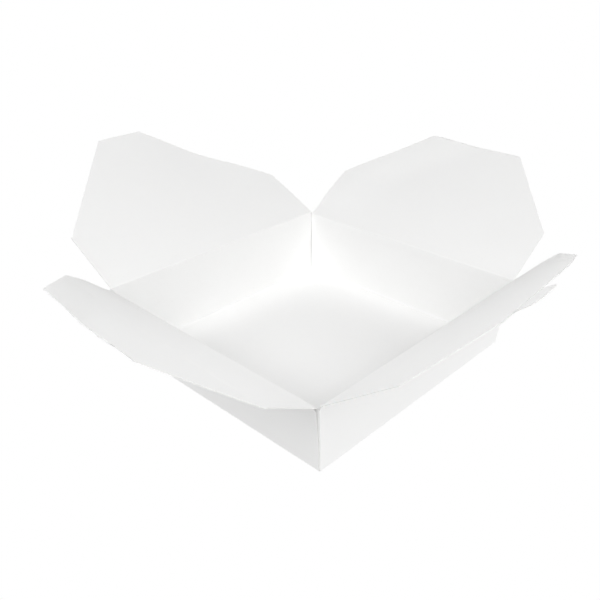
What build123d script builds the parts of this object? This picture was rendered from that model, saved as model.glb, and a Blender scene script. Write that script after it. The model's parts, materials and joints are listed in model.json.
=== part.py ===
from build123d import *

import math
import os
from dataclasses import dataclass

# Takeout food box: a shallow tray and four lid flaps, folded from one sheet of
# paperboard. Millimetres and degrees, +Z up. The origin is the centre of the
# tray's underside, and -Y is the front, where the lid's locking tab is.

# Board and folds
BOARD = 0.45               # thickness of the paperboard
FOLD_RADIUS = 0.35         # inside radius of every fold of the tray

# Tray
RIM_WIDTH = 200.0          # between the fold lines of the side flaps, along X
RIM_DEPTH = 192.0          # between the fold lines of the front and back flaps, along Y
HEIGHT = 50.0              # underside to the front and back fold lines
SIDE_WALL_LEAN = 6.5       # how far a side wall leans out over that height
MAIN_WALL_LEAN = 5.0       # the same, on the front and back walls
SIDE_FOLD_DROP = 1.2       # the side flaps fold lower, so that they close under the others

# Fits between the tray and its flaps
CREASE_GAP = 0.6           # fold line down to the wall's top edge
FLAP_SETBACK = 0.1         # fold line out to the flap's root
MAIN_END_GAP = 1.0         # each end of the front and back flaps to the rim's corner
SIDE_END_GAP = 1.2         # the same, on the side flaps, which close between the walls
SIDE_TAPER = 1.5           # degrees that a flap's ends lean in, so that it clears the corner
SIDE_MEETING_GAP = 10.0    # left open between the free edges of the two closed side flaps

# Flap outlines
RIGHT_FLAP_DEPTH = 110.0   # fold line to free edge; the left flap takes what the rim leaves
CORNER_RADIUS = 1.5        # rounding of a flap's four outer corners

# Locking tab, in the plane of the front flap
TAB_WIDTH = 27.0
TAB_LENGTH = 13.0
TAB_OFFSET = 17.0          # from the flap's middle towards the left
TAB_TIP_RADIUS = 5.0
TAB_OVERLAP = 4.0          # how far its outline runs back into the flap

NOTHING = 0.01             # overshoot of the shapes that cut


@dataclass(frozen=True)
class Flap:
    """A lid flap, laid out with its fold line along x and its free edge towards y."""

    node: str
    heading: float          # turn about Z from the back of the box, degrees
    length: float           # of its fold line
    reach: float            # from the box's middle out to its fold line
    fold_height: float
    rest_angle: float       # above level, standing open, degrees
    end_low_x: float        # length of the straight end at -x
    end_high_x: float       # length of the straight end at +x
    chamfer_run: float      # each sloping corner, measured along the fold line
    depth: float            # fold line to free edge

    def outline(self):
        """Return the flap's flat face, with its fold line on the x axis."""
        half = self.length / 2
        lean = math.tan(math.radians(SIDE_TAPER))
        points = [
            (-half, FLAP_SETBACK),
            (-half + self.end_low_x * lean, self.end_low_x),
            (-half + self.chamfer_run, self.depth),
            (half - self.chamfer_run, self.depth),
            (half - self.end_high_x * lean, self.end_high_x),
            (half, FLAP_SETBACK),
        ]
        face = make_face(Polyline(*points, close=True))
        outer = [corner for corner in face.vertices() if corner.Y > FLAP_SETBACK + NOTHING]
        return fillet(outer, CORNER_RADIUS)

    def solid(self, extra=None):
        """Return the flap as a board in its open position, with extra added to its face."""
        face = self.outline()
        board = extrude(face, BOARD / 2, both=True)
        if extra is not None:
            board += extrude(extra, BOARD / 2, both=True)
        fold = Pos(0, self.reach, self.fold_height) * Rot(X=self.rest_angle)
        return Rot(Z=self.heading) * fold * board


SIDE_FOLD_HEIGHT = HEIGHT - SIDE_FOLD_DROP
MAIN_LENGTH = RIM_WIDTH - 2 * MAIN_END_GAP
SIDE_LENGTH = RIM_DEPTH - 2 * SIDE_END_GAP
LEFT_FLAP_DEPTH = RIM_WIDTH - SIDE_MEETING_GAP - RIGHT_FLAP_DEPTH

BACK_FLAP = Flap(
    node="back_flap", heading=0, length=MAIN_LENGTH, reach=RIM_DEPTH / 2, fold_height=HEIGHT,
    rest_angle=25.5, end_low_x=51.5, end_high_x=51.5, chamfer_run=79.5, depth=142.0,
)
LEFT_FLAP = Flap(
    node="left_flap", heading=90, length=SIDE_LENGTH, reach=RIM_WIDTH / 2, fold_height=SIDE_FOLD_HEIGHT,
    rest_angle=29.5, end_low_x=41.0, end_high_x=37.0, chamfer_run=50.0, depth=LEFT_FLAP_DEPTH,
)
FRONT_FLAP = Flap(
    node="front_flap", heading=180, length=MAIN_LENGTH, reach=RIM_DEPTH / 2, fold_height=HEIGHT,
    rest_angle=40.0, end_low_x=39.0, end_high_x=57.0, chamfer_run=55.5, depth=80.5,
)
RIGHT_FLAP = Flap(
    node="right_flap", heading=-90, length=SIDE_LENGTH, reach=RIM_WIDTH / 2, fold_height=SIDE_FOLD_HEIGHT,
    rest_angle=29.5, end_low_x=49.5, end_high_x=45.0, chamfer_run=55.0, depth=RIGHT_FLAP_DEPTH,
)


def locking_tab():
    """Return the tab's face: a tongue with round tips that grows from the free edge."""
    length = TAB_LENGTH + TAB_OVERLAP
    centre = FRONT_FLAP.depth + TAB_LENGTH - length / 2
    tongue = Pos(TAB_OFFSET, centre) * Rectangle(TAB_WIDTH, length)
    tips = tongue.vertices().group_by(Axis.Y)[-1]
    return fillet(tips, TAB_TIP_RADIUS)


def frustum(inset, floor_height, radius):
    """Return the tray's tapered block from floor_height to the rim, its faces set in by inset."""
    def section(height):
        lean_left = 1 - height / HEIGHT
        width = RIM_WIDTH - 2 * (SIDE_WALL_LEAN * lean_left + inset)
        depth = RIM_DEPTH - 2 * (MAIN_WALL_LEAN * lean_left + inset)
        return Pos(0, 0, height) * Rectangle(width, depth)

    block = loft([section(floor_height), section(HEIGHT)], ruled=True)
    folds = [edge for edge in block.edges() if edge.center().Z < HEIGHT - NOTHING]
    return fillet(folds, radius)


def tray():
    """Return the floor and four walls, whose top edges stop short of the fold lines."""
    shell = frustum(0, 0, FOLD_RADIUS + BOARD) - frustum(BOARD, BOARD, FOLD_RADIUS)
    main_top = HEIGHT - CREASE_GAP
    side_top = SIDE_FOLD_HEIGHT - CREASE_GAP
    above = 2 * CREASE_GAP
    trim = Pos(0, 0, main_top) * Box(
        2 * RIM_WIDTH, 2 * RIM_DEPTH, above, align=(Align.CENTER, Align.CENTER, Align.MIN)
    )
    shell -= trim
    lean_above = SIDE_WALL_LEAN * (HEIGHT - side_top) / HEIGHT
    inner_half = RIM_WIDTH / 2 - BOARD - lean_above - NOTHING
    for side in (-1, 1):
        strip = Pos(side * (inner_half + RIM_WIDTH / 2), 0, side_top) * Box(
            RIM_WIDTH, 2 * RIM_DEPTH, HEIGHT, align=(Align.CENTER, Align.CENTER, Align.MIN)
        )
        shell -= strip
    return shell


def main():
    """Write one file for the tray and one for each flap."""
    os.makedirs("parts", exist_ok=True)
    export_step(tray(), "parts/tray.step")
    for flap in (BACK_FLAP, LEFT_FLAP, RIGHT_FLAP):
        export_step(flap.solid(), f"parts/{flap.node}.step")
    export_step(FRONT_FLAP.solid(locking_tab()), f"parts/{FRONT_FLAP.node}.step")


main()
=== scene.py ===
"""Looks of the takeout food box: a white paperboard tray and its four lid flaps.

Everything is in metres, Z up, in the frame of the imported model. The front is -Y,
where the lid's locking tab is.
"""

import json
import logging
import math
from dataclasses import dataclass
from enum import Enum
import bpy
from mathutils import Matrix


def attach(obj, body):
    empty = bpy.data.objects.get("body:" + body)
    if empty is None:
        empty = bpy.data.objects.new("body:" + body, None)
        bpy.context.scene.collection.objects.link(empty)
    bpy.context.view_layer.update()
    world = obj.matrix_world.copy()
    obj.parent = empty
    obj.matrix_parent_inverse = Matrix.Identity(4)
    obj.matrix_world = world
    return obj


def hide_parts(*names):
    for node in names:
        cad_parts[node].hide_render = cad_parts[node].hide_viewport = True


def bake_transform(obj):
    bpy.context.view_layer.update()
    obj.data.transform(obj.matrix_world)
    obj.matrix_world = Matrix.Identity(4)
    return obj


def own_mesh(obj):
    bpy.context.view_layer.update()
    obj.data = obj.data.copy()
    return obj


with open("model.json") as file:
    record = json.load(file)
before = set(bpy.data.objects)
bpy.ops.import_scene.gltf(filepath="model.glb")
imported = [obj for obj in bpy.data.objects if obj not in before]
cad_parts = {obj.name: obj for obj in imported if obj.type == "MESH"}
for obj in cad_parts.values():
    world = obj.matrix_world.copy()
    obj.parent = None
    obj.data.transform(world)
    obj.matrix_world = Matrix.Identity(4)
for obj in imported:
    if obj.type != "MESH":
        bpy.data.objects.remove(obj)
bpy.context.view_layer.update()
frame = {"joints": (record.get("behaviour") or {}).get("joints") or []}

from types import MappingProxyType
from typing import Any, Optional, Union

import bpy
import numpy as np
from bpy.types import NodeSocket, NodeTree, Object
from mathutils import Matrix, Vector

LOG = logging.getLogger("takeout_box")

MM = 0.001
BOARD = 0.45 * MM
HEIGHT = 50.0 * MM
CREASE_GAP = 0.6 * MM
CREASE_REACH = 0.6 * MM
END_STEPS = (0.0, 0.25, 0.6, 1.1, 1.8, 2.7, 4.0, 6.0, 9.0, 13.0)

Number = Union[float, "Knot"]


# ------------ node trees
@dataclass(frozen=True)
class Knot:
    """A number in a node tree, with the arithmetic that ties it to other numbers."""

    tree: NodeTree
    socket: NodeSocket

    def math(self, operation: str, *others: Number) -> "Knot":
        """Joins this number to others through one Math node.

        Args:
            operation: the Math node's operation.
            others: the node's further inputs.

        Returns:
            The node's result.
        """
        node = self.tree.nodes.new("ShaderNodeMath")
        node.operation = operation
        for slot, value in zip(node.inputs, (self, *others)):
            plug(self.tree, slot, value)
        return Knot(self.tree, node.outputs[0])

    def __add__(self, other: Number) -> "Knot":
        """Returns the sum."""
        return self.math("ADD", other)

    def __sub__(self, other: Number) -> "Knot":
        """Returns the difference."""
        return self.math("SUBTRACT", other)

    def __mul__(self, other: Number) -> "Knot":
        """Returns the product."""
        return self.math("MULTIPLY", other)

    def __truediv__(self, other: Number) -> "Knot":
        """Returns the quotient."""
        return self.math("DIVIDE", other)

    def sine(self) -> "Knot":
        """Returns the sine, of radians."""
        return self.math("SINE")

    def cosine(self) -> "Knot":
        """Returns the cosine, of radians."""
        return self.math("COSINE")

    def eased(self, low: Number, high: Number) -> "Knot":
        """Rises smoothly from 0 at low to 1 at high.

        Args:
            low: where the rise starts.
            high: where it ends.

        Returns:
            The eased share.
        """
        node = self.tree.nodes.new("ShaderNodeMapRange")
        node.interpolation_type = "SMOOTHSTEP"
        plug(self.tree, node.inputs["Value"], self)
        plug(self.tree, node.inputs["From Min"], low)
        plug(self.tree, node.inputs["From Max"], high)
        return Knot(self.tree, node.outputs["Result"])


def plug(tree: NodeTree, slot: NodeSocket, value: Any) -> None:
    """Feeds a socket with a link or with a constant.

    Args:
        tree: the tree that holds the socket.
        slot: the input socket.
        value: a Knot, an output socket or a constant.
    """
    if isinstance(value, Knot):
        value = value.socket
    if isinstance(value, NodeSocket):
        tree.links.new(value, slot)
    else:
        slot.default_value = value


def add_node(
    tree: NodeTree,
    kind: str,
    inputs: Optional[dict[Union[str, int], Any]] = None,
    **settings: Any,
) -> bpy.types.Node:
    """Adds a node, sets its options and feeds its inputs.

    Args:
        tree: the tree that gets the node.
        kind: the node's type name.
        inputs: its input sockets by name or number, each with a value or a link.
        settings: the node's own options.

    Returns:
        The new node.
    """
    node = tree.nodes.new(kind)
    for option, value in settings.items():
        setattr(node, option, value)
    for key, value in (inputs or {}).items():
        plug(tree, node.inputs[key], value)
    return node


def through(
    tree: NodeTree, kind: str, geometry: NodeSocket, more: dict, **options: Any
) -> NodeSocket:
    """Passes geometry through one more GeometryNode, and returns what comes out."""
    inputs = {0: geometry, **more}
    return add_node(tree, f"GeometryNode{kind}", inputs, **options).outputs[0]


def mark(tree: NodeTree, name: str) -> Knot:
    """Reads one of the numbers that a blank's points carry."""
    kind = "GeometryNodeInputNamedAttribute"
    node = add_node(tree, kind, {"Name": name}, data_type="FLOAT")
    return Knot(tree, node.outputs["Attribute"])


def scaled(tree: NodeTree, vector: Any, factor: Number) -> NodeSocket:
    """Multiplies a vector or a colour by a number."""
    feeds = {0: vector, "Scale": factor}
    return add_node(tree, "ShaderNodeVectorMath", feeds, operation="SCALE").outputs[0]


# ------------ finishes
@dataclass(frozen=True)
class BoardFinish:
    """A face of the bleached paperboard, coloured and roughened by its own fibres; a
    tint can also hold painted shade, as the cut edge's does.
    """

    name: str
    tint: tuple[float, float, float]
    roughness: float
    cloud: float
    fleck: float
    fibre_size: float
    fibre_relief: float
    stretch: tuple[float, float, float] = (1.0, 1.0, 1.0)

    MOTTLE_SIZE, CLOUD_SIZE, FLECK_SIZE = 60.0 * MM, 4.5 * MM, 1.1 * MM
    MOTTLE_TONE, CLOUD_TONE, FIBRE_TONE = 1.4, 2.0, 1.2
    FLECK_EDGES = (0.66, 0.74)
    CLOUD_RELIEF, FIBRE_RELIEF = 0.9, 0.75
    CLOUD_ROUGH, FIBRE_ROUGH = 0.16, 0.14
    SHADER = MappingProxyType(
        {"Specular IOR Level": 0.32, "Sheen Weight": 0.05, "Sheen Roughness": 0.6}
    )

    def material(self) -> bpy.types.Material:
        """Returns the finish as a node material, made once."""
        made = bpy.data.materials.get(self.name)
        if made is not None:
            return made
        made = bpy.data.materials.new(self.name)
        made.use_nodes = True
        tree = made.node_tree
        shader = tree.nodes["Principled BSDF"]
        place = add_node(tree, "ShaderNodeTexCoord").outputs["Object"]
        run = add_node(
            tree, "ShaderNodeMapping", {"Vector": place, "Scale": self.stretch}
        ).outputs["Vector"]
        mottle = self._noise(tree, place, self.MOTTLE_SIZE, 2.0, 0.5)
        cloud = self._noise(tree, place, self.CLOUD_SIZE, 3.0, 0.6)
        fibre = self._noise(tree, run, self.fibre_size, 4.0, 0.65)
        fleck = self._noise(tree, place, self.FLECK_SIZE, 1.0, 0.5)
        tone = (
            (mottle - 0.5) * (self.MOTTLE_TONE * self.cloud)
            + (cloud - 0.5) * (self.CLOUD_TONE * self.cloud)
            + (fibre - 0.5) * (self.FIBRE_TONE * self.cloud)
            - fleck.eased(*self.FLECK_EDGES) * self.fleck
            + 1.0
        )
        relief = fibre * self.FIBRE_RELIEF + cloud * self.CLOUD_RELIEF
        bump = add_node(
            tree,
            "ShaderNodeBump",
            {"Strength": 1.0, "Distance": self.fibre_relief, "Height": relief},
        )
        rough = (
            (cloud - 0.5) * self.CLOUD_ROUGH
            + (fibre - 0.5) * self.FIBRE_ROUGH
            + self.roughness
        )
        plug(tree, shader.inputs["Base Color"], scaled(tree, self.tint, tone))
        plug(tree, shader.inputs["Roughness"], rough)
        plug(tree, shader.inputs["Normal"], bump.outputs["Normal"])
        for socket, value in self.SHADER.items():
            shader.inputs[socket].default_value = value
        made.diffuse_color = (*self.tint, 1.0)
        return made

    @staticmethod
    def _noise(
        tree: NodeTree,
        place: NodeSocket,
        size: float,
        detail: float,
        roughness: float,
    ) -> Knot:
        """Adds a noise pattern with marks of a size, near 0.5 on average."""
        look = {"Scale": 1 / size, "Detail": detail, "Roughness": roughness}
        node = add_node(tree, "ShaderNodeTexNoise", {"Vector": place, **look})
        return Knot(tree, node.outputs["Fac"])


class Finish(Enum):
    """The looks that one sheet of the board has."""

    FACE = BoardFinish(
        name="board_face",
        tint=(0.93, 0.93, 0.925),
        roughness=0.62,
        cloud=0.006,
        fleck=0.03,
        fibre_size=0.00055,
        fibre_relief=0.000035,
    )
    SCORE = BoardFinish(
        name="board_score",
        tint=(0.93, 0.93, 0.925),
        roughness=0.74,
        cloud=0.014,
        fleck=0.03,
        fibre_size=0.00035,
        fibre_relief=0.00006,
        stretch=(1.0, 1.0, 0.4),
    )
    # Cut edge: a little greyer than the faces, as real cut board is, and darkened
    # further as painted shade so the edges read as shadowed outlines.
    CUT = BoardFinish(
        name="board_cut_edge",
        tint=(0.83, 0.825, 0.81),
        roughness=0.85,
        cloud=0.03,
        fleck=0.06,
        fibre_size=0.00018,
        fibre_relief=0.00006,
        stretch=(0.35, 0.35, 1.0),
    )


# ------------ board presses
class BoardPress:
    """Geometry Nodes that thicken a sheet and fold a flat blank into a flap."""

    THICKNESS_TREE = "board_thickness"
    FOLD_TREE = "flap_press"
    MARKS = ("swell", "scored", "wall_shift", "wall_drop", "low_gap", "high_gap")
    SHARP_EDGE = math.radians(32)
    WELD = 0.002 * MM
    SLACK = 0.001 * MM
    BEND_PULL = 1.6
    STIFF_REACH = 28 * MM

    @classmethod
    def thickness_tree(cls) -> NodeTree:
        """Returns the tree that makes a middle surface a closed board."""
        tree = bpy.data.node_groups.get(cls.THICKNESS_TREE)
        if tree is not None:
            return tree
        tree = cls._new_tree(cls.THICKNESS_TREE, ("Thickness", "Bead"))
        start = tree.nodes["Group Input"].outputs
        geometry = start["Geometry"]
        thick, bead = Knot(tree, start["Thickness"]), Knot(tree, start["Bead"])
        normal = add_node(tree, "GeometryNodeInputNormal").outputs["Normal"]
        inwards = scaled(tree, normal, thick * -0.5)
        outer = through(tree, "SetPosition", geometry, {"Offset": inwards})
        drawn = add_node(
            tree,
            "GeometryNodeExtrudeMesh",
            {
                "Mesh": outer,
                "Offset Scale": thick + bead * mark(tree, "swell"),
                "Individual": False,
            },
            mode="FACES",
        )
        joined = add_node(tree, "GeometryNodeJoinGeometry")
        tree.links.new(through(tree, "FlipFaces", outer, {}), joined.inputs[0])
        tree.links.new(drawn.outputs["Mesh"], joined.inputs[0])
        weld = {"Distance": cls.WELD}
        closed = through(tree, "MergeByDistance", joined.outputs[0], weld)
        flow = {"Shade Smooth": True}
        smooth = through(tree, "SetShadeSmooth", closed, flow, domain="FACE")
        angle = add_node(tree, "GeometryNodeInputMeshEdgeAngle").outputs[0]
        sharp = Knot(tree, angle).math("GREATER_THAN", cls.SHARP_EDGE)
        cut = {"Selection": sharp, "Shade Smooth": False}
        creased = through(tree, "SetShadeSmooth", smooth, cut, domain="EDGE")
        real = through(tree, "RealizeInstances", creased, {})
        scored = mark(tree, "scored").math("GREATER_THAN", 0.5)
        faced = cls._dress(tree, real, Finish.FACE, True)
        marked = cls._dress(tree, faced, Finish.SCORE, scored)
        # The cut edges get the finish whose darker tint is partly painted shade.
        edged = cls._dress(tree, marked, Finish.CUT, drawn.outputs["Side"])
        tree.links.new(edged, tree.nodes["Group Output"].inputs[0])
        return tree

    @staticmethod
    def _dress(
        tree: NodeTree, geometry: NodeSocket, finish: Finish, where: Any
    ) -> NodeSocket:
        """Adds a Set Material node and returns the geometry that it dresses."""
        look = {"Selection": where, "Material": finish.value.material()}
        return through(tree, "SetMaterial", geometry, look)

    @staticmethod
    def _new_tree(name: str, numbers: tuple[str, ...]) -> NodeTree:
        """Starts a Geometry Nodes tree.

        Args:
            name: its name.
            numbers: the names of its number inputs.

        Returns:
            The tree, with its Group Input and Group Output.
        """
        tree = bpy.data.node_groups.new(name, "GeometryNodeTree")
        add = tree.interface.new_socket
        for way in ("OUTPUT", "INPUT"):
            add("Geometry", in_out=way, socket_type="NodeSocketGeometry")
        for number in numbers:
            add(number, in_out="INPUT", socket_type="NodeSocketFloat")
        tree.nodes.new("NodeGroupInput")
        tree.nodes.new("NodeGroupOutput")
        return tree

    @classmethod
    def fold_tree(cls, numbers: tuple[str, ...]) -> NodeTree:
        """Returns the tree that folds a flat blank along x and turns it into place.

        The blank's x runs along the fold and its y away from it. Below the crease's
        reach the blank follows a smooth curve down to the wall's top edge.

        Args:
            numbers: the names of its number inputs, as a flap's sizes give them.

        Returns:
            The tree, made once.
        """
        tree = bpy.data.node_groups.get(cls.FOLD_TREE)
        if tree is not None:
            return tree
        tree = cls._new_tree(cls.FOLD_TREE, numbers)
        start = tree.nodes["Group Input"]
        size = {name: Knot(tree, start.outputs[name]) for name in numbers}
        place = add_node(tree, "GeometryNodeInputPosition").outputs[0]
        split = add_node(tree, "ShaderNodeSeparateXYZ", {0: place})
        along, away = (Knot(tree, split.outputs[i]) for i in (0, 1))

        angle = size["Rest Angle"] + size["Twist"] * (along / size["Length"])
        lift = cls._lift(tree, size, along, away)
        flap_out = away * angle.cosine() - lift * angle.sine()
        flap_up = away * angle.sine() + lift * angle.cosine()

        wall_out = (size["Wall Back"] + mark(tree, "wall_shift")) * -1.0
        wall_up = (size["Wall Down"] + mark(tree, "wall_drop")) * -1.0
        reach = size["Crease Reach"]
        share = (away / reach + 1.0) * 0.5
        square, cube = share * share, share * share * share
        lean = size["Wall Lean"]
        pull = reach * cls.BEND_PULL
        from_wall = cube * 2.0 - square * 3.0 + 1.0
        wall_pull = (cube - square * 2.0 + share) * pull
        to_flap = square * 3.0 - cube * 2.0
        flap_pull = (cube - square) * pull
        bend_out, bend_up = (
            from_wall * wall_place
            + wall_pull * wall_run
            + to_flap * (reach * flap_run)
            + flap_pull * flap_run
            for wall_place, wall_run, flap_run in (
                (wall_out, lean.sine(), angle.cosine()),
                (wall_up, lean.cosine(), angle.sine()),
            )
        )
        past = away.math("GREATER_THAN", reach - cls.SLACK)
        out = bend_out + (flap_out - bend_out) * past + size["Reach"]
        up = bend_up + (flap_up - bend_up) * past + size["Fold Height"]
        turn = size["Heading"]
        spot = add_node(
            tree,
            "ShaderNodeCombineXYZ",
            {
                0: along * turn.cosine() - out * turn.sine(),
                1: along * turn.sine() + out * turn.cosine(),
                2: up,
            },
        ).outputs[0]
        flat = start.outputs["Geometry"]
        folded = through(tree, "SetPosition", flat, {"Position": spot})
        thick = add_node(
            tree, "GeometryNodeGroup", node_tree=cls.thickness_tree()
        )
        plug(tree, thick.inputs["Geometry"], folded)
        for name in ("Thickness", "Bead"):
            plug(tree, thick.inputs[name], size[name])
        tree.links.new(thick.outputs[0], tree.nodes["Group Output"].inputs[0])
        return tree

    @classmethod
    def _lift(
        cls, tree: NodeTree, size: dict[str, Knot], along: Knot, away: Knot
    ) -> Knot:
        """Adds the sheet's own unevenness, square to its plane.

        Args:
            tree: the fold tree.
            size: the tree's number inputs by name.
            along: distance along the fold from its middle.
            away: distance from the fold.

        Returns:
            How far each point stands off the flap's plane.
        """
        from_dent = ((along - size["Dent Along"]) / size["Dent Radius"]).math(
            "POWER", 2.0
        ) + ((away - size["Dent Away"]) / size["Dent Radius"]).math("POWER", 2.0)
        dent = size["Dent Depth"] * (from_dent * -0.5).math("EXPONENT")
        flat = add_node(tree, "ShaderNodeCombineXYZ", {0: along, 1: away}).outputs[0]
        wave = add_node(
            tree,
            "ShaderNodeTexNoise",
            {
                "Vector": flat,
                "W": size["Seed"],
                "Scale": size["Ripple Size"].math("POWER", -1.0),
                "Detail": 1.0,
            },
            noise_dimensions="4D",
        )
        ripple = (Knot(tree, wave.outputs["Fac"]) - 0.5) * size["Ripple Height"]
        lift = dent + ripple
        for end in ("low", "high"):
            near = mark(tree, f"{end}_gap").eased(size["Curl Width"], 0.0)
            lift = lift + size[f"{end.title()} End Curl"] * near
        return lift * away.eased(CREASE_REACH, cls.STIFF_REACH)

    @classmethod
    def press(
        cls,
        piece: Object,
        tree: NodeTree,
        sizes: dict[str, float],
    ) -> Object:
        """Runs a tree on a piece and keeps the result as its plain mesh.

        Args:
            piece: the blank.
            tree: the tree to run.
            sizes: the tree's inputs by name.

        Returns:
            The same piece, with its finished mesh and no modifier.
        """
        modifier = piece.modifiers.new(tree.name, "NODES")
        modifier.node_group = tree
        for item in tree.interface.items_tree:
            if item.in_out == "INPUT" and item.name in sizes:
                modifier[item.identifier] = float(sizes[item.name])
        bpy.context.view_layer.update()
        graph = bpy.context.evaluated_depsgraph_get()
        finished = bpy.data.meshes.new_from_object(
            piece.evaluated_get(graph), preserve_all_data_layers=True, depsgraph=graph
        )
        piece.modifiers.remove(modifier)
        blank, piece.data = piece.data, finished
        bpy.data.meshes.remove(blank)
        finished.name = piece.name
        for spare in cls.MARKS:
            found = finished.attributes.get(spare)
            if found is not None:
                finished.attributes.remove(found)
        return piece


# ------------ the sheets
class Sheet:
    """A surface of quads that is put together row by row."""

    def __init__(self) -> None:
        """Starts an empty sheet."""
        self.points: list[tuple[float, float, float]] = []
        self.faces: list[tuple[int, ...]] = []
        self.marks: dict[str, list[float]] = {}

    def row(
        self, points: np.ndarray, marks: Optional[dict[str, Any]] = None
    ) -> list[int]:
        """Adds a row of points.

        Args:
            points: their places, one to a line.
            marks: named numbers, for each point or for all; 0 where left out.

        Returns:
            The points' numbers.
        """
        first = len(self.points)
        self.points += [tuple(map(float, p)) for p in points]
        for name, values in (marks or {}).items():
            held = self.marks.setdefault(name, [])
            held += [0.0] * (first - len(held))
            held += np.broadcast_to(values, len(points)).astype(float).tolist()
        return list(range(first, len(self.points)))

    def bridge(self, low: list[int], high: list[int]) -> None:
        """Joins two rows of as many points with quads that face up when y grows."""
        for a, b, c, d in zip(low, low[1:], high[1:], high):
            self.faces.append((a, b, c, d))

    def piece(self, name: str) -> Object:
        """Makes the sheet an object in the scene.

        Args:
            name: the piece's name.

        Returns:
            The new object.
        """
        mesh = bpy.data.meshes.new(name)
        mesh.from_pydata(self.points, [], self.faces)
        for label, values in self.marks.items():
            held = mesh.attributes.new(label, "FLOAT", "POINT")
            full = values + [0.0] * (len(self.points) - len(values))
            held.data.foreach_set("value", full)
        mesh.update()
        made = bpy.data.objects.new(name, mesh)
        bpy.context.scene.collection.objects.link(made)
        return made


def graded(length: float, spacing: float) -> np.ndarray:
    """Spaces points along a length, closer together near its two ends.

    Args:
        length: the whole length.
        spacing: the usual distance between points.

    Returns:
        Places from -length / 2 to length / 2.
    """
    near = np.array(END_STEPS) * MM
    low = -length / 2 + near
    count = max(2, round((length - 2 * near[-1]) / spacing))
    middle = np.linspace(low[-1], -low[-1], count + 1)[1:-1]
    return np.concatenate([low, middle, -low[::-1]])


def places(*parts: Union[float, np.ndarray]) -> np.ndarray:
    """Puts coordinates together as places, one to a line, repeating plain numbers."""
    return np.stack(np.broadcast_arrays(*parts), axis=1)


def smooth_share(value: np.ndarray, low: float, high: float) -> np.ndarray:
    """Rises smoothly from 0 at low to 1 at high."""
    share = np.clip((np.asarray(value, float) - low) / (high - low), 0.0, 1.0)
    return share * share * (3.0 - 2.0 * share)


class Compass(Enum):
    """The four sides of the box, with the turn from the back to each, in degrees."""

    BACK = 0
    LEFT = 90
    FRONT = 180
    RIGHT = -90

    @property
    def word(self) -> str:
        """The side's name as the bodies and joints spell it."""
        return self.name.lower()

    @property
    def main(self) -> bool:
        """True for the front and back, whose walls run past the side walls' ends."""
        return self in (Compass.BACK, Compass.FRONT)


@dataclass(frozen=True)
class Wall:
    """One wall of the tray, by its middle surface, in its own frame.

    x runs along the wall, y outwards and z up.
    """

    side: Compass
    reach: float
    lean: float
    top: float
    bow: float
    tuck_low: float = 0.0
    tuck_high: float = 0.0
    notch: float = 0.0

    BOW_RISE = 0.62 * math.pi
    TUCK_RISE = (0.34, 1.02)
    TUCK_POWER = 1.25
    TUCK_SPREAD = 3.4 * MM
    NOTCH_SPREAD = 6.0 * MM
    FOLD_RADIUS = 0.575 * MM
    ARC_STEPS = 6
    ROWS = 15

    @property
    def angle(self) -> float:
        """How far the wall leans out, in radians."""
        return math.atan(self.lean / HEIGHT)

    @property
    def floor_edge(self) -> float:
        """How far out the level floor ends, where the fold starts."""
        turn = math.pi / 2 - self.angle
        corner = self.reach - self.lean - BOARD / 2 + BOARD / 2 * math.tan(self.angle)
        return corner - self.FOLD_RADIUS * math.tan(turn / 2)

    def outer(self, height: np.ndarray) -> np.ndarray:
        """How far out the wall's outer face is at a height, without its bow."""
        return self.reach - self.lean * (1 - np.asarray(height) / HEIGHT)

    def profile(self) -> np.ndarray:
        """The wall's middle line from the floor to its top edge, as (out, up) pairs."""
        turn = math.pi / 2 - self.angle
        steps = np.linspace(0, turn, self.ARC_STEPS + 1)
        arc = places(
            self.floor_edge + self.FOLD_RADIUS * np.sin(steps),
            BOARD / 2 + self.FOLD_RADIUS * (1 - np.cos(steps)),
        )
        heights = np.linspace(arc[-1, 1], self.top, self.ROWS + 1)[1:]
        rise = places(self.outer(heights) - BOARD / 2, heights)
        return np.concatenate([arc, rise])

    def inward(
        self, along: np.ndarray, height: float, length: float
    ) -> np.ndarray:
        """How far the board is pulled in from its plane by its bow and its tucked ends.

        Args:
            along: places along the wall.
            height: how far above the underside they are.
            length: the wall's length at that height.

        Returns:
            Distances towards the box's middle.
        """
        rise = height / HEIGHT
        bow = self.bow * np.cos(np.pi * along / length) * np.sin(self.BOW_RISE * rise)
        climb = smooth_share(rise, *self.TUCK_RISE) ** self.TUCK_POWER
        low = np.exp(-(((along + length / 2) / self.TUCK_SPREAD) ** 2))
        high = np.exp(-(((along - length / 2) / self.TUCK_SPREAD) ** 2))
        return bow + climb * (self.tuck_low * low + self.tuck_high * high)

    def drop(self, along: np.ndarray, length: float) -> np.ndarray:
        """How far the top edge dips towards its low end, under the slot in the fold."""
        return self.notch * np.exp(-(((along + length / 2) / self.NOTCH_SPREAD) ** 2))

    def turned(self, points: np.ndarray) -> np.ndarray:
        """Turns points from the wall's own frame into the box's.

        Args:
            points: (along, out, up) places.

        Returns:
            (x, y, z) places.
        """
        turn = math.radians(self.side.value)
        c, s = math.cos(turn), math.sin(turn)
        along, out, up = points.T
        return places(along * c - out * s, along * s + out * c, up)


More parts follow.
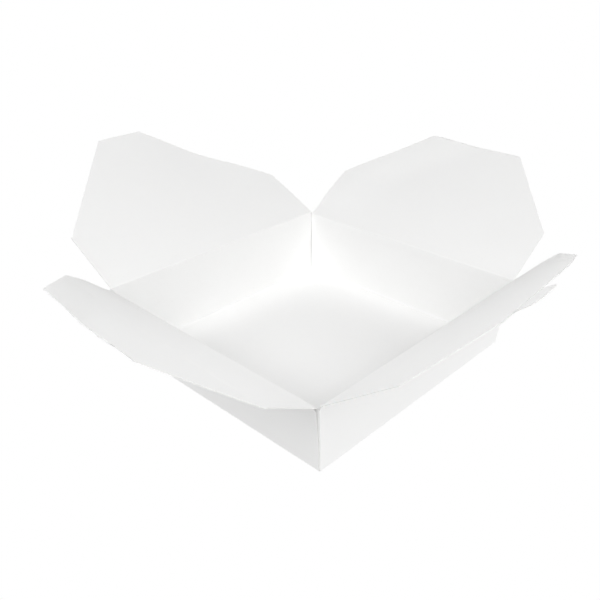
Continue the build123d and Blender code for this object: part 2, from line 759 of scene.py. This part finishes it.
@dataclass(frozen=True)
class Tray:
    """The floor, the four walls and their glue laps, folded up from the one sheet.

    The front wall's laps lie inside the side walls and the back wall's lie outside.
    """

    walls: dict[Compass, Wall]
    end_gap: float = 0.26 * MM
    end_spread: float = 0.34 * MM
    spacing: float = 5.0 * MM
    lap_gap: float = 0.05 * MM
    lap_opening: float = 0.30 * MM
    lap_radius: float = 0.6 * MM
    lap_sink: float = 2.1 * MM
    lap_chamfer: float = 7.0 * MM
    end_cut: float = 1.55 * MM

    NAME = "tray_board"
    BEAD = 0.05 * MM
    CUT_START = 0.35
    SINK_POWER = 0.7
    CHAMFER_POWER = 8
    TURN_STEPS = 5
    LAP_STEPS = (1.5 * MM, 4.0 * MM, 8.0 * MM, 14.0 * MM)

    def lap_line(self, side: Compass, height: float) -> float:
        """How far out the middle of a glue lap is, inside a side wall or outside it.

        Args:
            side: the wall that the lap grows from.
            height: above the underside.

        Returns:
            Its distance from the box's middle.
        """
        face = float(self.walls[Compass.LEFT].outer(height))
        if side is Compass.BACK:
            return face + BOARD / 2 + self.lap_gap
        gap = self.lap_gap + self.lap_opening * height / HEIGHT
        return face - 1.5 * BOARD - gap

    def wall_ends(self, wall: Wall, height: float) -> tuple[float, float]:
        """Where a wall's flat part starts and stops along it, at a height.

        Args:
            wall: the wall.
            height: above the underside.

        Returns:
            The two places.
        """
        rise = float(smooth_share(height, self.CUT_START * HEIGHT, HEIGHT))
        cut_low = cut_high = 0.0
        if wall.side.main:
            beside = self.walls[Compass.LEFT]
            full = self.lap_line(wall.side, height) - self.lap_radius
        else:
            beside = self.walls[Compass.BACK]
            gap = self.end_gap + self.end_spread * (1 - height / HEIGHT)
            full = float(beside.outer(height)) - BOARD - gap
            cut_low = self.end_cut * rise * (wall.side is Compass.LEFT)
            cut_high = self.end_cut * rise * (wall.side is Compass.RIGHT)
        floor = beside.floor_edge
        share = float(smooth_share(height, BOARD / 2, BOARD / 2 + wall.FOLD_RADIUS))
        half = floor + (full - floor) * share
        return cut_low - half, half - cut_high

    def lap_row(self, wall: Wall, sign: int, out: float, up: float) -> np.ndarray:
        """One level of a glue lap, from the end of its wall to the lap's free end.

        Args:
            wall: the front or back wall.
            sign: -1 for the lap at the wall's low end, 1 for the one at its high end.
            out: how far out the wall is at this level.
            up: the level's height.

        Returns:
            (along, out, up) places.
        """
        line, radius = self.lap_line(wall.side, up), self.lap_radius
        turn = np.linspace(0, math.pi / 2, self.TURN_STEPS + 1)[1:]
        steps = np.array(self.LAP_STEPS)
        level = np.full(len(steps), line)
        along = np.append(line - radius + radius * np.sin(turn), level)
        away = np.append(out - radius + radius * np.cos(turn), out - radius - steps)
        rise = up / wall.top
        sunk = np.linspace(0, 1, len(turn)) ** self.SINK_POWER
        heights = up - self.lap_sink * rise * np.append(sunk, np.ones(len(steps)))
        heights[-1] -= self.lap_chamfer * rise**self.CHAMFER_POWER
        return places(sign * along, away, heights)

    def build(self) -> Object:
        """Makes the tray and puts it on its body.

        Returns:
            The finished piece.
        """
        sheet = Sheet()
        half_x = self.walls[Compass.LEFT].floor_edge
        half_y = self.walls[Compass.BACK].floor_edge
        across = graded(2 * half_x, self.spacing)
        deep = graded(2 * half_y, self.spacing)
        rows = [sheet.row(places(across, y, BOARD / 2)) for y in deep]
        for low, high in zip(rows, rows[1:]):
            sheet.bridge(low, high)
        edges = {
            Compass.BACK: rows[-1],
            Compass.FRONT: rows[0][::-1],
            Compass.LEFT: [row[0] for row in rows],
            Compass.RIGHT: [row[-1] for row in rows][::-1],
        }
        spreads = {True: across / (2 * half_x), False: deep / (2 * half_y)}
        for side, wall in self.walls.items():
            self._raise_wall(sheet, wall, edges[side], spreads[side.main])
        sizes = {"Thickness": BOARD, "Bead": self.BEAD}
        piece = BoardPress.press(
            sheet.piece(self.NAME), BoardPress.thickness_tree(), sizes
        )
        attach(piece, "tray")
        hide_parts("tray")
        return piece

    def _raise_wall(
        self, sheet: Sheet, wall: Wall, edge: list[int], spread: np.ndarray
    ) -> None:
        """Adds one wall to the sheet, from the floor's edge upwards.

        Args:
            sheet: the tray's sheet.
            wall: the wall.
            edge: the floor's points along it.
            spread: their places along it, as shares of its length.
        """
        last = edge
        laps: dict[int, list[int]] = {}
        for step, (out, up) in enumerate(wall.profile()[1:], 1):
            start, stop = self.wall_ends(wall, up)
            along = start + (stop - start) * (spread + 0.5)
            length = 2 * max(-start, stop)
            inward = wall.inward(along, up, length)
            at_top = step == wall.ARC_STEPS + wall.ROWS
            height = up - wall.drop(along, length) * at_top
            marks = {
                "scored": step <= wall.ARC_STEPS,
                "swell": step < wall.ARC_STEPS,
            }
            row = sheet.row(wall.turned(places(along, out - inward, height)), marks)
            sheet.bridge(last, row)
            last = row
            if wall.side.main and step >= wall.ARC_STEPS:
                for sign, end in ((-1, row[0]), (1, row[-1])):
                    lap = sheet.row(
                        wall.turned(self.lap_row(wall, sign, float(out), float(up)))
                    )
                    whole = [end, *lap][::sign]
                    if sign in laps:
                        sheet.bridge(laps[sign], whole)
                    laps[sign] = whole


@dataclass(frozen=True)
class Tab:
    """The locking tab on a flap's free edge."""

    middle: float
    base: float
    tip: float
    length: float
    tip_radius: float

    ARC_STEPS, STRAIGHT_STEPS = 6, 3

    def rows(self, depth: float, columns: np.ndarray) -> list[np.ndarray]:
        """The tab's points above the free edge, row by row.

        Args:
            depth: where the free edge is.
            columns: places along the tab's base, as shares from 0 to 1.

        Returns:
            One array of (along, away) places for each row.
        """
        arc = np.linspace(0, math.pi / 2, self.ARC_STEPS + 1)[1:-1]
        straight = self.length - self.tip_radius
        rounded = straight + self.tip_radius * np.sin(arc)
        sides = np.linspace(0, straight, self.STRAIGHT_STEPS + 1)[1:]
        made = []
        for climb in (*sides, *rounded, self.length):
            half = (self.base + (self.tip - self.base) * climb / self.length) / 2
            above = climb - straight
            if above > 0:
                half -= self.tip_radius - math.sqrt(
                    max(self.tip_radius**2 - above**2, 0.0)
                )
            along = self.middle + half * (2 * columns - 1)
            made.append(places(along, depth + climb))
        return made


@dataclass(frozen=True)
class Dent:
    """A shallow round hollow in a flap, or a bulge where its depth is positive."""

    depth: float = 0.0
    along: float = 0.0
    away: float = 40.0 * MM
    radius: float = 30.0 * MM


@dataclass(frozen=True)
class Flap:
    """A lid flap and its crease, by the flat blank and the way that it stands open.

    The blank's x runs along the fold and its y away from it. Angles are in degrees.
    """

    side: Compass
    length: float
    end_low: float
    end_high: float
    chamfer_run: float
    depth: float
    rest_angle: float
    plane_angle: float
    twist: float
    curls: tuple[float, float]
    curl_width: float
    seed: float
    dent: Dent = Dent()
    slot: float = 0.0
    tab: Optional[Tab] = None

    END_LEAN = math.tan(math.radians(1.5))
    CORNER_RADIUS = 1.5 * MM
    RIPPLE_HEIGHT = 0.9 * MM
    RIPPLE_SIZE = 70.0 * MM
    BEAD = 0.10 * MM
    SPACING = 4.0 * MM
    ROW_SPACING = 3.0 * MM
    CREASE_ROWS = 13
    SWELL_NARROWING = 1.25
    ROUNDING_STEPS = 6
    CUT_DIGITS = 7

    @property
    def body(self) -> str:
        """The flap's body, which is its CAD node's name too."""
        return f"{self.side.word}_flap"

    @property
    def joint(self) -> dict[str, Any]:
        """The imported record's joint at this flap's fold."""
        return next(
            j for j in frame["joints"] if j["name"] == f"{self.side.word}_fold"
        )

    def edge(self, end: float) -> np.ndarray:
        """The outline of one side of the blank, from the fold to the free edge.

        Args:
            end: the length of that side's straight end.

        Returns:
            (inset from the fold's end, away) places, going away from the fold.
        """
        corners = np.array(
            [
                (0.0, 0.0),
                (end * self.END_LEAN, end),
                (self.chamfer_run, self.depth),
                (self.length / 2, self.depth),
            ]
        )
        path = [corners[0]]
        for before, corner, after in zip(corners, corners[1:], corners[2:]):
            back = (before - corner) / np.linalg.norm(before - corner)
            on = (after - corner) / np.linalg.norm(after - corner)
            half = math.acos(np.clip(back @ on, -1, 1)) / 2
            start, stop = (
                corner + way * self.CORNER_RADIUS / math.tan(half) for way in (back, on)
            )
            centre = corner + (back + on) / np.linalg.norm(back + on) * (
                self.CORNER_RADIUS / math.sin(half)
            )
            for share in np.linspace(0, 1, self.ROUNDING_STEPS):
                spot = start + (stop - start) * share - centre
                path.append(centre + spot / np.linalg.norm(spot) * self.CORNER_RADIUS)
        return np.array(path)

    def blank(self) -> Sheet:
        """Lays out the flat flap, from the crease's reach to its free edge and tab."""
        low, high = self.edge(self.end_low), self.edge(self.end_high)
        count = round(self.depth / self.ROW_SPACING)
        own = np.linspace(CREASE_REACH, self.depth, count)
        cuts = np.concatenate([own, low[:, 1], high[:, 1]])
        cuts = np.unique(np.round(cuts[cuts >= CREASE_REACH], self.CUT_DIGITS))
        columns, tab_columns = self._columns(low, high)
        sheet = Sheet()
        last: list[int] = []
        for away in cuts:
            inset_low = np.interp(away, low[:, 1], low[:, 0])
            inset_high = np.interp(away, high[:, 1], high[:, 0])
            start, stop = -self.length / 2 + inset_low, self.length / 2 - inset_high
            along = start + (stop - start) * columns
            gaps = {"low_gap": along - start, "high_gap": stop - along}
            row = sheet.row(places(along, away, 0.0), gaps)
            if last:
                sheet.bridge(last, row)
            last = row
        if self.tab is not None:
            base = [last[i] for i in tab_columns]
            shares = (columns[tab_columns] - columns[tab_columns[0]]) / (
                columns[tab_columns[-1]] - columns[tab_columns[0]]
            )
            clear = {"low_gap": self.length, "high_gap": self.length}
            for spots in self.tab.rows(self.depth, shares):
                row = sheet.row(places(*spots.T, 0.0), clear)
                sheet.bridge(base, row)
                base = row
        return sheet

    def _columns(
        self, low: np.ndarray, high: np.ndarray
    ) -> tuple[np.ndarray, np.ndarray]:
        """Chooses the blank's columns, so that some of them stand under the tab.

        Args:
            low: the outline of its low side.
            high: the outline of its high side.

        Returns:
            The columns as shares from 0 to 1, and the numbers of the tab's own.
        """
        count = round(self.length / self.SPACING)
        if self.tab is None:
            return np.linspace(0, 1, count + 1), np.array([], int)
        start = -self.length / 2 + low[-1, 0]
        stop = self.length / 2 - high[-1, 0]
        edges = [
            (self.tab.middle + sign * self.tab.base / 2 - start) / (stop - start)
            for sign in (-1, 1)
        ]
        parts = [
            np.linspace(a, b, max(2, round((b - a) * count)) + 1)
            for a, b in ((0.0, edges[0]), (edges[0], edges[1]), (edges[1], 1.0))
        ]
        columns = np.concatenate([parts[0], parts[1][1:], parts[2][1:]])
        first = len(parts[0]) - 1
        return columns, np.arange(first, first + len(parts[1]))

    def crease_blank(self, wall: Wall) -> Sheet:
        """Lays out the strip that bends, from the wall's top edge to the flap.

        Args:
            wall: the wall that it grows from.

        Returns:
            The flat strip.
        """
        along = graded(self.length - self.slot, self.SPACING) + self.slot / 2
        shift = wall.inward(along, wall.top, self.length)
        sheet = Sheet()
        last: list[int] = []
        for share in np.linspace(-1, 1, self.CREASE_ROWS):
            swell = max(0.0, 1 - (share * self.SWELL_NARROWING) ** 2)
            marks = {
                "swell": swell,
                "wall_shift": shift,
                "wall_drop": wall.drop(along, self.length),
                "scored": 1.0,
            }
            row = sheet.row(places(along, share * CREASE_REACH, 0.0), marks)
            if last:
                sheet.bridge(last, row)
            last = row
        return sheet

    def sizes(self, wall: Wall) -> dict[str, float]:
        """The inputs of the fold tree for this flap.

        Args:
            wall: the wall that it grows from.

        Returns:
            The inputs by name.
        """
        place = Vector(self.joint["pos_m"])
        reach = place.xy.length
        wall_out = float(wall.outer(wall.top)) - BOARD / 2
        return {
            "Rest Angle": math.radians(self.rest_angle),
            "Twist": math.radians(self.twist),
            "Length": self.length,
            "Dent Depth": self.dent.depth,
            "Dent Along": self.dent.along,
            "Dent Away": self.dent.away,
            "Dent Radius": self.dent.radius,
            "Low End Curl": self.curls[0],
            "High End Curl": self.curls[1],
            "Curl Width": self.curl_width,
            "Ripple Height": self.RIPPLE_HEIGHT,
            "Ripple Size": self.RIPPLE_SIZE,
            "Wall Back": reach - wall_out,
            "Wall Down": place.z - wall.top,
            "Wall Lean": wall.angle,
            "Crease Reach": CREASE_REACH,
            "Bead": self.BEAD,
            "Heading": math.radians(self.side.value),
            "Reach": reach,
            "Fold Height": place.z,
            "Thickness": BOARD,
            "Seed": self.seed,
        }

    def build(self, wall: Wall) -> tuple[Object, Object]:
        """Makes the flap on its body, and the crease that joins it to the tray.

        Args:
            wall: the wall that it grows from.

        Returns:
            The flap and its crease.
        """
        sizes = self.sizes(wall)
        tree = BoardPress.fold_tree(tuple(sizes))
        board = BoardPress.press(self.blank().piece(f"{self.body}_board"), tree, sizes)
        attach(board, self.body)
        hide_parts(self.body)
        turn = Matrix.Rotation(math.radians(self.side.value), 3, "Z")
        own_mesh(board)
        crease = BoardPress.press(
            self.crease_blank(wall).piece(f"{self.side.word}_crease"), tree, sizes
        )
        down = turn @ Vector((0.0, -sizes["Wall Back"], -sizes["Wall Down"]))
        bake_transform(crease)
        return board, crease


@dataclass(frozen=True)
class TakeoutBox:
    """The whole box: its tray and its four lid flaps."""

    side_lean: float = 6.5 * MM
    main_lean: float = 5.0 * MM

    def walls(self) -> dict[Compass, Wall]:
        """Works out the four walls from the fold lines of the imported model."""
        folds = {j["name"]: Vector(j["pos_m"]) for j in frame["joints"]}
        shapes = {
            Compass.BACK: dict(bow=0.25),
            Compass.LEFT: dict(bow=-0.2, tuck_low=-0.3, tuck_high=0.9, notch=2.3),
            Compass.FRONT: dict(bow=-0.25),
            Compass.RIGHT: dict(bow=0.2, tuck_low=0.7),
        }
        made = {}
        for side, shape in shapes.items():
            fold = folds[f"{side.word}_fold"]
            made[side] = Wall(
                side=side,
                reach=fold.xy.length,
                lean=self.main_lean if side.main else self.side_lean,
                top=fold.z - CREASE_GAP,
                **{part: size * MM for part, size in shape.items()},
            )
        return made

    def flaps(self) -> tuple[Flap, ...]:
        """The four lid flaps, in the order that they are made."""
        return (
            Flap(
                side=Compass.BACK,
                length=198.0 * MM,
                end_low=51.5 * MM,
                end_high=51.5 * MM,
                chamfer_run=79.5 * MM,
                depth=142.0 * MM,
                rest_angle=25.5,
                plane_angle=25.5,
                twist=-0.6,
                dent=Dent(-3.4 * MM, 50.0 * MM, 100.0 * MM, 24.0 * MM),
                curls=(0.0, 0.9 * MM),
                curl_width=45.0 * MM,
                seed=3.0,
            ),
            Flap(
                side=Compass.LEFT,
                length=189.6 * MM,
                end_low=41.0 * MM,
                end_high=37.0 * MM,
                chamfer_run=50.0 * MM,
                depth=80.0 * MM,
                rest_angle=30.1,
                plane_angle=29.5,
                twist=5.4,
                curls=(0.6 * MM, 2.8 * MM),
                curl_width=50.0 * MM,
                slot=7.0 * MM,
                seed=11.0,
            ),
            Flap(
                side=Compass.FRONT,
                length=198.0 * MM,
                end_low=39.0 * MM,
                end_high=57.0 * MM,
                chamfer_run=55.5 * MM,
                depth=80.5 * MM,
                rest_angle=40.5,
                plane_angle=40.0,
                twist=-7.8,
                curls=(1.3 * MM, 0.0),
                curl_width=9.0 * MM,
                seed=23.0,
                tab=Tab(
                    middle=17.5 * MM,
                    base=29.0 * MM,
                    tip=23.5 * MM,
                    length=13.0 * MM,
                    tip_radius=4.5 * MM,
                ),
            ),
            Flap(
                side=Compass.RIGHT,
                length=189.6 * MM,
                end_low=49.5 * MM,
                end_high=45.0 * MM,
                chamfer_run=55.0 * MM,
                depth=110.0 * MM,
                rest_angle=30.2,
                plane_angle=29.5,
                twist=-2.8,
                dent=Dent(-1.2 * MM, -50.0 * MM, 80.0 * MM, 22.0 * MM),
                curls=(2.8 * MM, 0.6 * MM),
                curl_width=50.0 * MM,
                seed=37.0,
            ),
        )

    def build(self) -> list[Object]:
        """Makes every piece of the box.

        Returns:
            The pieces.
        """
        walls = self.walls()
        pieces = [Tray(walls).build()]
        for flap in self.flaps():
            pieces += flap.build(walls[flap.side])
        return pieces


# ------------ studio
@dataclass(frozen=True)
class Softbox:
    """A square area light aimed at the box."""

    name: str
    place: tuple[float, float, float]
    side: float
    power: float

    TARGET = Vector((0.0, 0.0, 0.03))

    def build(self) -> None:
        """Adds the light."""
        light = bpy.data.lights.new(self.name, "AREA")
        light.shape, light.size, light.energy = "SQUARE", self.side, self.power
        lamp = bpy.data.objects.new(self.name, light)
        lamp.location = self.place
        aim = self.TARGET - Vector(self.place)
        lamp.rotation_euler = aim.to_track_quat("-Z", "Y").to_euler()
        bpy.context.scene.collection.objects.link(lamp)


@dataclass(frozen=True)
class SoftSky:
    """Even light from large far panels, each strongest along its own direction."""

    panels: tuple[tuple[tuple[float, float, float], float], ...]

    def build(self) -> None:
        """Makes the world that sheds the light, and that is plain white to look at."""
        world = bpy.data.worlds.new("studio_sky")
        world.use_nodes = True
        tree = world.node_tree
        ray = add_node(tree, "ShaderNodeTexCoord").outputs["Generated"]
        total: Number = 0.0
        for direction, power in self.panels:
            facing = add_node(
                tree,
                "ShaderNodeVectorMath",
                {0: ray, 1: direction},
                operation="DOT_PRODUCT",
            )
            share = Knot(tree, facing.outputs["Value"]).math("MAXIMUM", 0.0)
            total = share * power + total
        path = add_node(tree, "ShaderNodeLightPath")
        seen = Knot(tree, path.outputs["Is Camera Ray"])
        back = tree.nodes["Background"]
        back.inputs["Color"].default_value = (1.0, 1.0, 1.0, 1.0)
        plug(tree, back.inputs["Strength"], total * (seen * -1.0 + 1.0) + seen)
        bpy.context.scene.world = world


@dataclass(frozen=True)
class Studio:
    """The floor, the lights and the camera."""

    floor_half: float = 6.0
    sky: SoftSky = SoftSky(
        (
            ((0.0, 0.0, -1.0), 1.40),
            ((0.0, -1.0, 0.0), 0.54),
            ((0.0, 1.0, 0.0), 0.37),
        )
    )
    lamps: tuple[Softbox, ...] = (
        Softbox("front_softbox", (0.0, -1.13, 1.16), 0.9, 11.1),
        Softbox("left_softbox", (-1.13, 0.0, 1.16), 0.9, 13.5),
        Softbox("back_softbox", (1.09, 1.09, 0.44), 0.9, 10.3),
    )

    LENS, SENSOR = 41.39, 36.0
    CLIP = (0.01, 50.0)
    EYE = (-0.3084, -0.2849, 0.2614)
    AHEAD = Vector((0.63381, 0.61402, -0.47038))
    UP = Vector((0.34295, 0.32201, 0.88244))

    def floor(self) -> None:
        """Lays a plain white floor that sheds no light of its own on the box."""
        sheet = Sheet()
        ends = np.array([-self.floor_half, self.floor_half])
        rows = [sheet.row(places(ends, y, 0.0)) for y in ends]
        sheet.bridge(*rows)
        floor = sheet.piece("studio_floor")
        finish = bpy.data.materials.new("studio_paper")
        finish.use_nodes = True
        shader = finish.node_tree.nodes["Principled BSDF"]
        for socket, value in {
            "Base Color": (0.0, 0.0, 0.0, 1.0),
            "Specular IOR Level": 0.0,
            "Emission Color": (1.0, 1.0, 1.0, 1.0),
            "Emission Strength": 1.0,
        }.items():
            shader.inputs[socket].default_value = value
        floor.data.materials.append(finish)
        for ray in ("diffuse", "glossy", "shadow"):
            setattr(floor, f"visible_{ray}", False)

    def camera(self) -> None:
        """Stands the camera in front of the near corner, looking down at the tray."""
        lens = bpy.data.cameras.new("camera")
        lens.lens, lens.sensor_width = self.LENS, self.SENSOR
        lens.clip_start, lens.clip_end = self.CLIP
        eye = bpy.data.objects.new("camera", lens)
        side = self.AHEAD.cross(self.UP).normalized()
        turn = Matrix((side, side.cross(self.AHEAD), -self.AHEAD)).transposed()
        eye.matrix_world = Matrix.Translation(self.EYE) @ turn.to_4x4()
        bpy.context.scene.collection.objects.link(eye)
        bpy.context.scene.camera = eye

    def build(self) -> None:
        """Sets the whole studio up."""
        bpy.context.scene.view_settings.view_transform = "Standard"
        self.floor()
        self.sky.build()
        for lamp in self.lamps:
            lamp.build()
        self.camera()


def main() -> None:
    """Builds the box and its studio, and reports each piece."""
    logging.basicConfig(level=logging.INFO, format="%(message)s")
    Studio().build()
    for piece in TakeoutBox().build():
        LOG.info("%s: %d faces", piece.name, len(piece.data.polygons))


if __name__ == "__main__":
    main()
